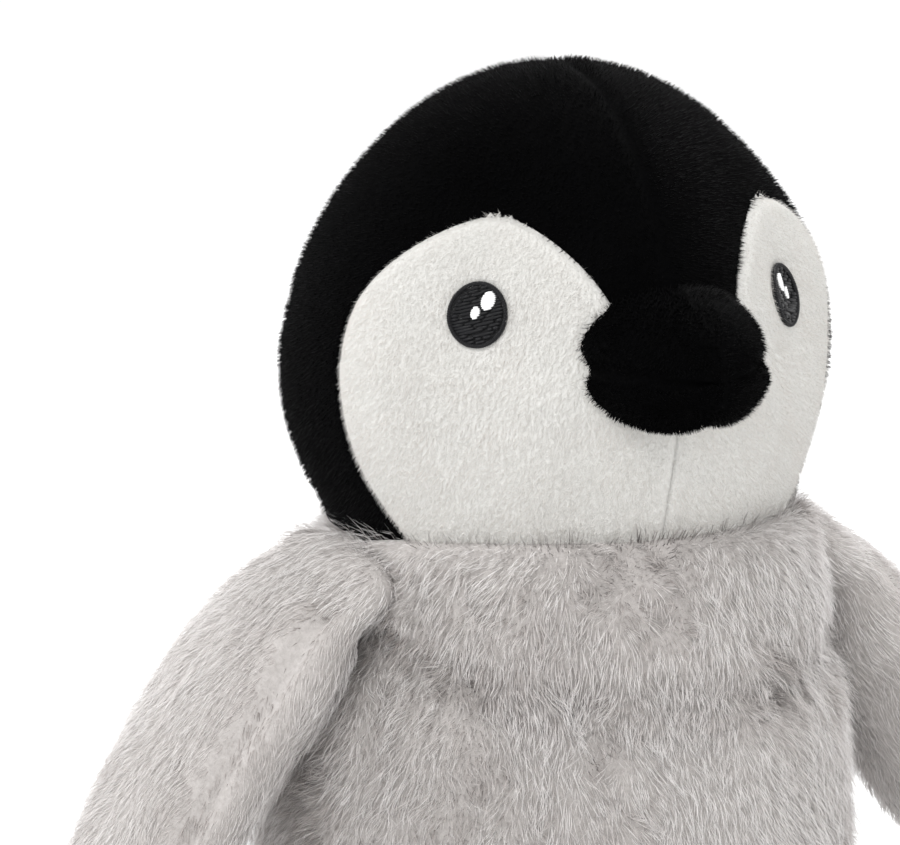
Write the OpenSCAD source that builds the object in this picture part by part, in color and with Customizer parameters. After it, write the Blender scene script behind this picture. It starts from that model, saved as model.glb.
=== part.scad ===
// Plush penguin chick, standing on its seat and two feet, face towards -Y, its right side at -X.
// Every stuffed form is a smooth law of two parameters; skins are sheets between that law
// and the same law drawn in by the fabric's thickness, and the stuffing is what they enclose.

/* [Body] */
// Height of the neck seam above the floor
body_h = 195; // [170:1:240]
// Half width of the belly at its widest
belly_r = 67; // [62:0.5:84]
// Height of the widest part of the belly
belly_z = 100; // [70:1:120]
// Half width of the body where it meets the floor
base_r = 50; // [40:0.5:56]
// Depth of the belly as a share of its width
belly_depth = 0.92; // [0.8:0.01:1]
// Radius of the neck seam
neck_r = 52; // [44:0.5:56]
// Height of the bag of pellets that weights the seat
pellet_h = 30; // [15:1:50]

/* [Head] */
// Radius of the stuffed head
head_r = 61.5; // [56:0.5:74]
// Height of the head's centre above the neck seam
head_rise = 41; // [36:0.5:50]
// How far the face is drawn in beside the eyes
face_draw = 7; // [0:0.5:10]
// How much slimmer the crown is than a ball
crown_slim = 2.6; // [0:0.1:4]
// How much fuller than a ball the head is low at its sides and back
nape_full = 2.6; // [0:0.1:4]
// How much fuller than a ball the head is beside the eyes
temple_full = 2.3; // [0:0.1:4]

/* [Eyes] */
// Width of an embroidered eye
eye_w = 13.7; // [10:0.1:17]
// Height of an embroidered eye
eye_h = 15.3; // [10:0.1:19]
// Angle of each eye from the middle of the face
eye_side = 43.5; // [36:0.5:52]
// Angle of the eyes above the head's centre
eye_up = 12; // [4:1:18]

/* [Beak] */
// Width of the beak at the face
beak_w = 39; // [28:0.5:48]
// Height of the beak at the face
beak_h = 28.5; // [22:0.5:36]
// Length of the beak in front of the face
beak_l = 24; // [16:0.5:32]
// Height of the beak's middle above the head's centre
beak_rise = 2; // [-6:0.5:8]

/* [Wings] */
// Length of a wing from its shoulder seam
wing_l = 128; // [90:1:150]
// Width of a wing at its widest
wing_w = 64; // [44:1:76]
// Thickness of a wing at its fullest
wing_t = 25; // [14:0.5:30]
// Width of the shoulder seam
root_w = 50; // [30:1:56]
// Thickness of the wing at the shoulder seam
root_t = 11; // [8:0.5:16]
// How far the wings hang out from the body, from straight down
wing_out = 36; // [30:1:70]
// Height of the shoulder seam under the neck seam
shoulder_drop = 6; // [4:0.5:16]

/* [Feet and tail] */
// Length of a foot in front of the body
foot_l = 36; // [22:1:44]
// Width of a foot
foot_w = 40; // [28:1:46]
// Height of a foot at the body
foot_h = 19; // [12:0.5:26]
// Distance from the middle to a foot's middle
foot_side = 25; // [23.5:0.5:30]
// Length of the tail behind the body
tail_l = 24; // [14:1:34]
// Width of the tail at the body
tail_w = 34; // [20:1:44]
// Thickness of the tail at the body
tail_t = 15; // [10:0.5:20]
// Height of the tail's middle above the floor
tail_z = 22; // [16:1:32]

/* [Cloth] */
// Thickness of the backed pile fabric
cloth_t = 2.2; // [1.5:0.1:3]
// Room between a skin and the stuffing inside it
stuff_gap = 0.7; // [0.5:0.1:1.2]
// Room between pieces that move past each other
move_gap = 0.5; // [0.4:0.1:1]
// Thickness of the embroidery thread on the pile
thread_t = 0.7; // [0.4:0.1:1]

/* [Hidden] */

// Roundness of the belly's side outline: 2 is an ellipse, more is fuller
belly_round = 2.4;
// Heights over which the belly's outline would close above and below its widest part
belly_up = (body_h - belly_z) / closing(neck_r / belly_r, belly_round);
belly_down = belly_z / closing(base_r / belly_r, belly_round);
// The neck joint's centre lies under the neck seam, inside a dome of stuffing
pivot_drop = 21;
pivot = [0, 0, body_h - pivot_drop];
dome_r = norm([neck_r, pivot_drop]);
// Lowest latitude of the head's skin, at the neck seam, and where its black side panels end
rim_lat = -atan(head_rise / neck_r);
head_c = [0, 0, body_h + head_rise];
back_seam_lat = 8;
// The cheek's outline as an oval in longitude and latitude
cheek_mid = 40;
cheek_half = 37;
cheek_lat = -10;
cheek_up = 44;
// Shoulder seam: the wing's hinge line runs from front to back outside the shoulder
shoulder_z = body_h - shoulder_drop;
shoulder_x = sqrt((dome_r + root_t / 2 + 1.5 * move_gap) ^ 2 - (shoulder_z - pivot[2]) ^ 2);

black = [0.045, 0.045, 0.05];
white = [0.91, 0.905, 0.88];
grey = [0.78, 0.76, 0.75];
stuffing = [0.95, 0.94, 0.9];
thread_white = [0.97, 0.97, 0.97];
bag_cloth = [0.86, 0.84, 0.78];

// ---- Laws -----------------------------------------------------------------------------------

// Share of the closing height at which an oval of this roundness has narrowed to a share k
function closing(k, n) = (1 - k ^ n) ^ (1 / n);
// 1 at zero, falling smoothly to nothing by about two widths
function bell(x) = exp(-x * x);
function smooth(t) = let (c = min(1, max(0, t))) c * c * (3 - 2 * c);
function lerp(a, b, t) = a + (b - a) * t;
// Steps from a to b
function steps(a, b, n) = [for (i = [0:n]) lerp(a, b, i / n)];

// Torso: half width at a height, and half depth, which rounds out to the circular neck
function torso_half(z) =
    let (q = z > belly_z ? (z - belly_z) / belly_up : (belly_z - z) / belly_down,
         oval = belly_r * (1 - min(1, q) ^ belly_round) ^ (1 / belly_round),
         rise = z - pivot[2])
    rise > 0 ? min(oval, sqrt(dome_r ^ 2 - rise ^ 2)) : min(oval, max(dome_r, dome_r - rise * 0.6));
function torso_deep(z) =
    torso_half(z) * lerp(belly_depth, 1, smooth((z - belly_z) / (pivot[2] - belly_z)));
// A point of the torso at longitude th from the front, drawn in by d
function torso_at(th, z, d) =
    let (a = torso_half(z) - d, b = torso_deep(z) - d) [-a * sin(th), -b * cos(th), z];
// Depth of the torso's surface at a place across it
function torso_front(x, z, d = 0) =
    let (a = torso_half(z) - d, b = torso_deep(z) - d) b * sqrt(max(0.02, 1 - (x / a) ^ 2));

// Head: radius towards a longitude from the face's middle and a latitude
function head_rad(th, la) =
    let (low = neck_r / cos(min(0, la)), k = 16,
         draw = face_draw * bell((th - 38) / 26) * bell((la - 10) / 34),
         eye = 1.2 * bell((th - eye_side) / 11) * bell((la - eye_up) / 12),
         slim = crown_slim * bell((la - 38) / 30),
         nape = nape_full * bell((la + 20) / 20) * smooth((la + 38) / 10) * smooth((th - 75) / 35),
         temple = temple_full * bell((la - 12) / 26) * bell((th - 68) / 20))
    (head_r ^ k + (la < 0 ? low : 0) ^ k) ^ (1 / k) - draw - eye - slim + nape + temple;
function head_at(th, la, d) =
    head_c + (head_rad(abs(th), la) - d) * [-sin(th) * cos(la), -cos(th) * cos(la), sin(la)];
// Depth of the face in front of the head's centre at a place across it and a height from it
function face_at(x, z) =
    let (y = sqrt(head_r ^ 2 - x ^ 2 - z ^ 2), r = head_rad(atan2(abs(x), y), atan2(z, norm([x, y]))))
    sqrt(r ^ 2 - x ^ 2 - z ^ 2);

// The cheek's outline: longitudes of its back and front edges at a latitude, on one oval
function cheek_span(la) = let (q = min(1, abs(la - cheek_lat) / cheek_up)) 1 - q ^ (la < cheek_lat ? 2.6 : 2);
function cheek_back(la) = cheek_mid + cheek_half * cheek_span(la) ^ (la < cheek_lat ? 1 / 2.6 : 1 / 2);
function cheek_front(la) = la < back_seam_lat ? 0 : cheek_mid * (1 - cheek_span(la) ^ 0.85);
cheek_top = cheek_lat + cheek_up;
// Latitudes of the rows that the cheek and its neighbours share along their seams
upper_rows = [for (t = steps(0, 1, 6)) lerp(back_seam_lat, cheek_top - 0.15, 1 - (1 - t) ^ 2)];
lower_rows = steps(rim_lat, back_seam_lat, 7);

// Beak: a point at share s of its length, at angle v round it, drawn in by d, and at share k
// of the way out from its middle line
function beak_at(s, v, d, k = 1) =
    let (r = k * (1 - s ^ 2.2) ^ (1 / 2.2), x = (beak_w / 2 - d) * r * cos(v),
         z = (beak_h / 2 - d) * r * sin(v) + beak_rise - 2 * s)
    head_c + [x, -face_at(x, z) - move_gap - s * (beak_l - d), z];

// Wing, right: s is the distance from the hinge line, v the angle round the section from its
// front edge, the outer face first
function wing_thick(s) = let (u = s / wing_l)
    s < 0 ? root_t * sqrt(max(0, 1 - (2 * s / root_t) ^ 2))
          : (root_t + (wing_t - root_t) * smooth(u / 0.25)) * (1 - max(0, (u - 0.45) / 0.56) ^ 2.2);
function wing_wide(s) = let (u = s / wing_l)
    s < 0 ? root_w - 4 * (1 - sqrt(max(0, 1 - (2 * s / root_t) ^ 2)))
          : lerp(root_w, wing_w, smooth(u / 0.3)) * sqrt(max(0, 1 - max(0, (u - 0.35) / 0.651) ^ 2.4));
// How far the wing's middle bows out near the shoulder and then in towards its tip
function wing_bow(u) = 2.5 * smooth(u / 0.1) * (1 - smooth((u - 0.15) / 0.3)) - 6.5 * smooth((u - 0.3) / 0.5);
function wing_at(s, v, d) =
    let (b = max(0.4, wing_wide(s) / 2 - d), t = max(0.25, wing_thick(s) / 2 - d),
         y = -b * cos(v), n = t * abs(sin(v)) ^ 0.85 * sign(sin(v)))
    [n + wing_bow(s / wing_l), y, s];
function wing_rows(d) = concat([for (a = steps(-90, 0, 2)) (root_t / 2 - d) * sin(a) * 0.999],
                               [for (t = steps(0, 1, 10)) if (t > 0) (wing_l - d) * (1 - (1 - t) ^ 1.8)]);

// Foot, right: s along the foot from the body, v from its outer edge over the top and back
// under the flat sole. The toes'
// outline is straight ahead of the body, with a dip between each two of the three toes.
function toe(x) = 1 - 0.12 * sin(270 * x / foot_w) ^ 2;
function foot_at(s, v, d, k = 1) =
    let (r = k * max(0.03, (1 - s ^ 3) ^ (1 / 3)), x = (foot_w / 2 - d) * r * -cos(v),
         high = lerp(foot_h, foot_h * 0.8, s) - cloth_t - d,
         z = cloth_t + high * (r * max(0, sin(v)) + 0.4 * (1 - k)),
         back = torso_front(x - foot_side, z) + move_gap,
         ahead = torso_deep(0) + (foot_l - d) * toe(x))
    [x - foot_side, -lerp(back, ahead, s), z];

// Tail: s along the tail from the body, v round it from its right edge over the top
function tail_at(s, v, d, k = 1) =
    let (r = (1 - s ^ 2) ^ (1 / 1.6), x = (tail_w / 2 - d) * k * max(0.05, r) * -cos(v),
         z = tail_z + (tail_t / 2 - d) * k * max(0.05, r ^ 0.7) * sin(v) - 5 * s)
    [x, torso_front(x, z) + move_gap + s * (tail_l - d), z];

// ---- Sheets and stuffed solids --------------------------------------------------------------

// Two triangles of a four-sided face
function quad(a, b, c, d) = [[a, b, c], [a, c, d]];

// A sheet of cloth between two grids of points of one size
module sheet(outer, inner) {
    m = len(outer) - 1;
    n = len(outer[0]) - 1;
    w = n + 1;
    k = (m + 1) * w;
    faces = concat(
        [for (i = [0:m-1], j = [0:n-1]) each quad(i*w + j, i*w + j+1, (i+1)*w + j+1, (i+1)*w + j)],
        [for (i = [0:m-1], j = [0:n-1]) each quad(k + (i+1)*w + j, k + (i+1)*w + j+1, k + i*w + j+1, k + i*w + j)],
        [for (j = [0:n-1]) each quad(k + j, k + j+1, j+1, j)],
        [for (j = [0:n-1]) each quad(m*w + j, m*w + j+1, k + m*w + j+1, k + m*w + j)],
        [for (i = [0:m-1]) each quad(i*w, (i+1)*w, k + (i+1)*w, k + i*w)],
        [for (i = [0:m-1]) each quad(i*w + n, k + i*w + n, k + (i+1)*w + n, (i+1)*w + n)]);
    polyhedron(concat([for (r = outer) each r], [for (r = inner) each r]), faces);
}

// A stuffed solid through closed rings of points, closed by a fan at each end
module stuffed(rings) {
    m = len(rings) - 1;
    n = len(rings[0]);
    ends = [centre(rings[0]), centre(rings[m])];
    faces = concat(
        [for (i = [0:m-1], j = [0:n-1])
            each quad(i*n + j, i*n + (j+1) % n, (i+1)*n + (j+1) % n, (i+1)*n + j)],
        [for (j = [0:n-1]) [(m+1)*n, (j+1) % n, j]],
        [for (j = [0:n-1]) [(m+1)*n + 1, m*n + j, m*n + (j+1) % n]]);
    polyhedron(concat([for (r = rings) each r], ends), faces);
}

// Middle of a ring of points
function centre(ring, i = 0) = i == len(ring) ? [0, 0, 0] : ring[i] / len(ring) + centre(ring, i + 1);
// Rings that carry a limb's root across the curved surface that it sits on
root_shares = [0.35, 0.7];
// Angles of n points round a closed ring
function round_angles(n) = [for (i = [0:n-1]) i * 360 / n];

// ---- Head -----------------------------------------------------------------------------------

// What the neck's dome of stuffing takes out of the head, with room to move
module neck_socket() {
    translate(pivot) sphere(r = dome_r + move_gap, $fn = 96);
}

module cheek_panel() {
    rows = concat(lower_rows, [for (la = upper_rows) if (la > back_seam_lat) la]);
    grid = function (d)
        [for (la = rows) [for (t = steps(0, 1, 8)) head_at(lerp(cheek_back(la), cheek_front(la), t), la, d)]];
    color(white) difference() {
        sheet(grid(0), grid(cloth_t));
        neck_socket();
    }
}

module back_head_panel() {
    grid = function (d)
        [for (la = lower_rows) [for (t = steps(0, 1, 8)) head_at(lerp(180, cheek_back(la), t), la, d)]];
    color(black) difference() {
        sheet(grid(0), grid(cloth_t));
        neck_socket();
    }
}

module crown_panel() {
    last = len(upper_rows) - 1;
    front = [for (la = upper_rows) [cheek_front(la), la]];
    back = [for (i = [last:-1:0]) [cheek_back(upper_rows[i]), upper_rows[i]]];
    behind = [for (t = steps(0, 1, 6)) if (t > 0) [lerp(cheek_back(back_seam_lat), 180, t), back_seam_lat]];
    edge = concat([[0, back_seam_lat]], front, back, behind);
    grid = function (d)
        [for (t = steps(0, 1, 7)) [for (i = [len(edge) - 1:-1:0])
            head_at(edge[i][0], lerp(edge[i][1], 89.6, t), d)]];
    color(black) sheet(grid(0), grid(cloth_t));
}

module head_filling() {
    d = cloth_t + stuff_gap;
    lats = concat(steps(rim_lat, 0, 4), steps(15, 75, 4), [88]);
    color(stuffing) difference() {
        stuffed([for (la = lats) [for (th = round_angles(24)) head_at(th > 180 ? th - 360 : th, la, d)]]);
        neck_socket();
    }
}

// One half of the beak's skin, from angle v0 to v1 round it
module beak_panel(v0, v1) {
    rows = [for (t = steps(0, 1, 6)) 1 - (1 - t) ^ 1.8 - 0.004];
    grid = function (d) [for (s = rows) [for (v = steps(v0, v1, 9)) beak_at(max(0, s), v, d)]];
    color(black) sheet(grid(0), grid(cloth_t));
}
module beak_upper_panel() { beak_panel(0, 180); }
module beak_lower_panel() { beak_panel(180, 360); }

module beak_filling() {
    d = cloth_t + stuff_gap;
    color(stuffing) stuffed(concat(
        [for (k = root_shares) [for (v = round_angles(14)) beak_at(0, v, d, k)]],
        [for (s = steps(0, 0.985, 5)) [for (v = round_angles(14)) beak_at(s, v, d)]]));
}

// A patch of thread on the pile, between two heights above it; side and up are its middle's
// distances from the eye's own middle
module thread_patch(w, h, side, up, low, high, n) {
    flat = PI / 180 * head_rad(eye_side, eye_up);
    at = function (r, v, d)
        head_at(eye_side + (side + w / 2 * r * cos(v)) / flat, eye_up + (up + h / 2 * r * sin(v)) / flat, -d);
    ring = function (r, d) [for (v = round_angles(n)) at(r, v, d)];
    stuffed([ring(0.5, low), ring(1, low), ring(1, high), ring(0.5, high)]);
}

module eye_embroidery() {
    color(black) thread_patch(eye_w, eye_h, 0, 0, 0.3, 0.3 + thread_t, 20);
}

module eye_highlights() {
    base = 0.5 + thread_t;
    color(thread_white) {
        thread_patch(eye_w * 0.25, eye_h * 0.26, -eye_w * 0.15, eye_h * 0.2, base, base + thread_t / 2, 12);
        thread_patch(eye_w * 0.19, eye_h * 0.17, eye_w * 0.06, eye_h * 0.01, base, base + thread_t / 2, 10);
    }
}

// ---- Neck and torso -------------------------------------------------------------------------

module neck_filling() {
    color(stuffing) intersection() {
        translate(pivot) sphere(r = dome_r, $fn = 96);
        translate([0, 0, body_h + move_gap]) cylinder(r = neck_r - cloth_t, h = dome_r, $fn = 96);
    }
}

// Longitude where the breast panel ends and the side seams run
breast_edge = 62;

module torso_panel(from, to, columns) {
    rows = [for (t = steps(0, 1, 11)) lerp(cloth_t, body_h, t)];
    grid = function (d) [for (z = rows) [for (th = steps(to, from, columns)) torso_at(th, z, d)]];
    color(grey) sheet(grid(0), grid(cloth_t));
}
module front_body_panel() { torso_panel(-breast_edge, breast_edge, 10); }
module back_body_panel() { torso_panel(breast_edge, 180, 9); }

// Stuffed inside of the torso between two heights
module torso_inside(low, high, n) {
    d = cloth_t + stuff_gap;
    stuffed([for (z = steps(low, high, n)) [for (th = round_angles(24)) torso_at(th, z, d)]]);
}

module torso_filling() {
    color(stuffing) torso_inside(pellet_h + stuff_gap, body_h, 10);
}

module pellet_bag() {
    color(bag_cloth) torso_inside(cloth_t + stuff_gap, pellet_h, 3);
}

module base_panel() {
    color(grey) linear_extrude(cloth_t)
        polygon([for (th = round_angles(36)) let (p = torso_at(th, 0, 0)) [p[0], p[1]]]);
}

// ---- Wings ----------------------------------------------------------------------------------

// From the wing's own lengths to its place at the right shoulder
function hung(p) = [-shoulder_x - p[2] * sin(wing_out) - p[0] * cos(wing_out), p[1],
                    shoulder_z - p[2] * cos(wing_out) + p[0] * sin(wing_out)];

module wing_panel(v0, v1) {
    grid = function (d) [for (s = wing_rows(d)) [for (v = steps(v0, v1, 8)) hung(wing_at(s, v, d))]];
    color(grey) sheet(grid(0), grid(cloth_t));
}
module wing_outer_panel() { wing_panel(0, 180); }
module wing_inner_panel() { wing_panel(180, 360); }

module wing_filling() {
    d = cloth_t + stuff_gap;
    color(stuffing) stuffed([for (s = wing_rows(d)) [for (v = round_angles(14)) hung(wing_at(s, v, d))]]);
}

// ---- Feet -----------------------------------------------------------------------------------

foot_rows = [for (t = steps(0, 1, 6)) 0.996 * (1 - (1 - t) ^ 1.7)];

module foot_upper_panel() {
    grid = function (d) [for (s = foot_rows) [for (v = steps(0, 180, 10)) foot_at(s, v, d)]];
    color(black) sheet(grid(0), grid(cloth_t));
}

module foot_sole_panel() {
    last = len(foot_rows) - 1;
    edge = concat([for (s = foot_rows) foot_at(s, 0, 0)],
                  [for (i = [last:-1:0]) foot_at(foot_rows[i], 180, 0)],
                  [for (v = steps(200, 340, 7)) foot_at(0, v, 0)]);
    color(black) linear_extrude(cloth_t) polygon([for (p = edge) [p[0], p[1]]]);
}

module foot_filling() {
    d = cloth_t + stuff_gap;
    color(stuffing) stuffed(concat(
        [for (k = root_shares) [for (v = round_angles(16)) foot_at(0, v, d, k)]],
        [for (s = foot_rows) [for (v = round_angles(16)) foot_at(s, v, d)]]));
}

// ---- Tail -----------------------------------------------------------------------------------

module tail_panel(v0, v1) {
    grid = function (d) [for (s = steps(0, 0.97, 4)) [for (v = steps(v0, v1, 6)) tail_at(s, v, d)]];
    color(grey) sheet(grid(0), grid(cloth_t));
}
module tail_upper_panel() { tail_panel(0, 180); }
module tail_lower_panel() { tail_panel(180, 360); }

module tail_filling() {
    d = cloth_t + stuff_gap;
    color(stuffing) stuffed(concat(
        [for (k = root_shares) [for (v = round_angles(10)) tail_at(0, v, d, k)]],
        [for (s = steps(0, 0.9, 3)) [for (v = round_angles(10)) tail_at(s, v, d)]]));
}

crown_panel();  // crown_panel_right
mirror([1, 0, 0]) crown_panel();  // crown_panel_left
back_head_panel();  // back_head_panel_right
mirror([1, 0, 0]) back_head_panel();  // back_head_panel_left
cheek_panel();  // cheek_panel_right
mirror([1, 0, 0]) cheek_panel();  // cheek_panel_left
beak_upper_panel();
beak_lower_panel();
beak_filling();
eye_embroidery();  // eye_embroidery_right
mirror([1, 0, 0]) eye_embroidery();  // eye_embroidery_left
eye_highlights();  // eye_highlights_right
mirror([1, 0, 0]) eye_highlights();  // eye_highlights_left
head_filling();
neck_filling();
torso_filling();
pellet_bag();
front_body_panel();
back_body_panel();  // back_body_panel_right
mirror([1, 0, 0]) back_body_panel();  // back_body_panel_left
base_panel();
wing_outer_panel();  // wing_outer_panel_right
wing_inner_panel();  // wing_inner_panel_right
wing_filling();  // wing_filling_right
mirror([1, 0, 0]) wing_outer_panel();  // wing_outer_panel_left
mirror([1, 0, 0]) wing_inner_panel();  // wing_inner_panel_left
mirror([1, 0, 0]) wing_filling();  // wing_filling_left
foot_upper_panel();  // foot_upper_panel_right
foot_sole_panel();  // foot_sole_panel_right
foot_filling();  // foot_filling_right
mirror([1, 0, 0]) foot_upper_panel();  // foot_upper_panel_left
mirror([1, 0, 0]) foot_sole_panel();  // foot_sole_panel_left
mirror([1, 0, 0]) foot_filling();  // foot_filling_left
tail_upper_panel();
tail_lower_panel();
tail_filling();
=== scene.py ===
import bpy
import numpy as np
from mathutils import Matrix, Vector


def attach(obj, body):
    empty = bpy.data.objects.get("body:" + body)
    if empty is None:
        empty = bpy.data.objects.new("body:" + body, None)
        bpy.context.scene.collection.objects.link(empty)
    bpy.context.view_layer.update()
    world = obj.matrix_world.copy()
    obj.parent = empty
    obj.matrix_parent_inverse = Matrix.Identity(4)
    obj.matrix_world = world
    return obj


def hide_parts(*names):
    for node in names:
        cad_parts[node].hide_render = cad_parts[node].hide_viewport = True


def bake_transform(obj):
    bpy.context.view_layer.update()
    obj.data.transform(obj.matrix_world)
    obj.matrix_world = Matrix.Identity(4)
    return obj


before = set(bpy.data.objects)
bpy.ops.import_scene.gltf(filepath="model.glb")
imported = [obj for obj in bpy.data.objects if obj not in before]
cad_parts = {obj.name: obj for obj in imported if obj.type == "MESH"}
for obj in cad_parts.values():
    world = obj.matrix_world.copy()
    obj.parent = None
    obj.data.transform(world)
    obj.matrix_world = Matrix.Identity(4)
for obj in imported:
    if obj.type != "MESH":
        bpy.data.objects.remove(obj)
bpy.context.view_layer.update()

bpy.ops.object.select_all(action="DESELECT")


# ---- Camera ---------------------------------------------------------------------------------
# A long lens a little above the toy's eyes, to its right, so that the head fills the upper
# right of the picture and the wings run out of it below.

HEAD_MIDDLE = np.array([0.0, 0.0, 0.236])
camera_turn, camera_rise, camera_distance = np.radians(-25), np.radians(9), 0.8
PIXEL = 0.000225
# The picture's width, and how far the head's middle is right of and above the picture's, in pixels.
PICTURE_WIDE, HEAD_RIGHT, HEAD_UP = 900, 107.5, 92.5
from_head = np.array([np.sin(camera_turn) * np.cos(camera_rise),
                      -np.cos(camera_turn) * np.cos(camera_rise), np.sin(camera_rise)])
across = np.array([np.cos(camera_turn), np.sin(camera_turn), 0.0])
upward = np.cross(from_head, across)
camera = bpy.data.objects.new("camera", bpy.data.cameras.new("camera"))
bpy.context.scene.collection.objects.link(camera)
bpy.context.scene.camera = camera
camera.location = HEAD_MIDDLE + camera_distance * from_head
aim = HEAD_MIDDLE - across * HEAD_RIGHT * PIXEL - upward * HEAD_UP * PIXEL
camera.rotation_euler = (Vector(aim) - camera.location).to_track_quat("-Z", "Y").to_euler()
camera.data.sensor_width = 36
camera.data.lens = camera.data.sensor_width * camera_distance / (PICTURE_WIDE * PIXEL)
camera.data.clip_end = 60


# ---- Studio ---------------------------------------------------------------------------------
# White paper on the floor that whitens out far from the toy, white light from all round, a
# large soft lamp at the front left, a weak one at the front right and two behind that catch
# the edges of the black pile.

bpy.ops.mesh.primitive_plane_add(size=40, location=(0, 0, 0))
paper = bpy.context.active_object
paper.name = "paper_sweep"
bpy.ops.object.mode_set(mode="EDIT")
bpy.ops.mesh.select_all(action="SELECT")
bpy.ops.mesh.subdivide(number_cuts=1)
bpy.ops.object.mode_set(mode="OBJECT")
paper_finish = bpy.data.materials.new("white_paper")
paper_finish.use_nodes = True
paper_shader = paper_finish.node_tree.nodes["Principled BSDF"]
paper_shader.inputs["Base Color"].default_value = (0.80, 0.80, 0.80, 1)
paper_shader.inputs["Roughness"].default_value = 0.9
paper_place = paper_finish.node_tree.nodes.new("ShaderNodeTexCoord")
paper_far = paper_finish.node_tree.nodes.new("ShaderNodeVectorMath")
paper_far.operation = "LENGTH"
paper_glow = paper_finish.node_tree.nodes.new("ShaderNodeMapRange")
paper_glow.inputs["From Min"].default_value = 0.3
paper_glow.inputs["From Max"].default_value = 0.9
paper_glow.inputs["To Max"].default_value = 0.4
paper_finish.node_tree.links.new(paper_place.outputs["Object"], paper_far.inputs[0])
paper_finish.node_tree.links.new(paper_far.outputs["Value"], paper_glow.inputs["Value"])
paper_finish.node_tree.links.new(paper_glow.outputs["Result"], paper_shader.inputs["Emission Strength"])
paper_shader.inputs["Emission Color"].default_value = (1, 1, 1, 1)
paper.data.materials.append(paper_finish)

world = bpy.context.scene.world or bpy.data.worlds.new("studio")
bpy.context.scene.world = world
world.use_nodes = True
world.node_tree.nodes["Background"].inputs["Color"].default_value = (1.0, 1.0, 1.0, 1)
world.node_tree.nodes["Background"].inputs["Strength"].default_value = 0.82
bpy.context.scene.view_settings.view_transform = "Standard"


def lamp(name, place, size, power):
    """A square soft lamp that faces the toy's neck."""
    light = bpy.data.objects.new(name, bpy.data.lights.new(name, "AREA"))
    light.data.size = size
    light.data.energy = power
    light.location = place
    light.rotation_euler = (Vector((0, 0, 0.18)) - light.location).to_track_quat("-Z", "Y").to_euler()
    bpy.context.scene.collection.objects.link(light)


lamp("front_lamp", (-1.0, -1.0, 1.6), 0.9, 20)
lamp("left_back_lamp", (-1.2, 0.8, 0.5), 0.6, 8)
lamp("top_back_lamp", (0.7, 0.7, 1.4), 0.6, 14)
lamp("right_front_lamp", (1.1, -0.9, 0.5), 0.8, 4)


# ---- Body -----------------------------------------------------------------------------------
# A pear of long-pile grey plush, sewn from a front and two back panels and stuffed with
# fibre over a bag of pellets. Its top is the dome that the head sits over.

BODY_HIGH, BELLY_WIDE, BELLY_AT, BASE_WIDE, NECK_WIDE = 0.195, 0.069, 0.100, 0.050, 0.052
BELLY_DEPTH, TURN_AT, DOME = 0.92, 0.174, 0.05608
ROUNDNESS = 2.4
BODY_SEAM_TURN = 62


def closing(share, power):
    """What is left of a form's width at a share of the way to where it closes."""
    return np.maximum(1 - np.clip(share, 0, 1) ** power, 0) ** (1 / power)


def eased(share):
    """A smooth step from 0 to 1."""
    share = np.clip(share, 0, 1)
    return share * share * (3 - 2 * share)


def bell(share):
    """1 at nought, and next to nothing past 2."""
    return np.exp(-share * share)


def body_half(z):
    """Half the body's width at height z."""
    above = (BODY_HIGH - BELLY_AT) / closing(NECK_WIDE / BELLY_WIDE, ROUNDNESS)
    below = BELLY_AT / closing(BASE_WIDE / BELLY_WIDE, ROUNDNESS)
    oval = BELLY_WIDE * closing(np.abs(z - BELLY_AT) / np.where(z > BELLY_AT, above, below), ROUNDNESS)
    rise = z - TURN_AT
    dome = np.sqrt(np.maximum(DOME ** 2 - np.maximum(rise, 0) ** 2, 0))
    return np.minimum(oval, np.where(rise > 0, dome, np.maximum(DOME, DOME - rise * 0.6)))


def body_deep(z):
    """Half the body's depth at height z."""
    return body_half(z) * (BELLY_DEPTH + (1 - BELLY_DEPTH) * eased((z - BELLY_AT) / (TURN_AT - BELLY_AT)))


def body_point(turn, z, inset=0.0):
    """A point of the body's cloth. Turns are from the middle of the face towards the toy's right."""
    half, deep = body_half(z) - inset, body_deep(z) - inset
    return np.stack([-half * np.sin(turn), -deep * np.cos(turn), z], -1)


def turn_of(place):
    """Degrees round the body from the middle of the face towards the toy's right."""
    return np.degrees(np.arctan2(-place[:, 0], -place[:, 1]))


def points(piece):
    co = np.empty(len(piece.data.vertices) * 3)
    piece.data.vertices.foreach_get("co", co)
    return co.reshape(-1, 3)


def place_points(piece, co):
    piece.data.vertices.foreach_set("co", np.asarray(co, float).ravel())
    piece.data.update()


def only(piece):
    """Makes this the one selected and active piece."""
    bpy.ops.object.select_all(action="DESELECT")
    piece.select_set(True)
    bpy.context.view_layer.objects.active = piece


def faced_outward(piece):
    only(piece)
    bpy.ops.object.mode_set(mode="EDIT")
    bpy.ops.mesh.select_all(action="SELECT")
    bpy.ops.mesh.normals_make_consistent(inside=False)
    bpy.ops.object.mode_set(mode="OBJECT")


def mirrored(piece):
    """Turns a right-hand piece into the left-hand one."""
    place_points(piece, points(piece) * [-1, 1, 1])
    faced_outward(piece)


def stuffed(name, law, around, along):
    """A closed form from a ball: the law gives a point for each turn (0 at the face, positive
    to the toy's right) and each share of the way from the form's one pole to its other."""
    bpy.ops.object.select_all(action="DESELECT")
    bpy.ops.mesh.primitive_uv_sphere_add(segments=around, ring_count=along, radius=1, location=(0, 0, 0))
    piece = bpy.context.active_object
    piece.name = piece.data.name = name
    co = points(piece)
    share = np.arcsin(np.clip(co[:, 2], -1, 1)) / np.pi + 0.5
    place_points(piece, law(np.arctan2(-co[:, 0], -co[:, 1]), share))
    faced_outward(piece)
    bpy.ops.object.shade_smooth()
    return piece


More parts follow.
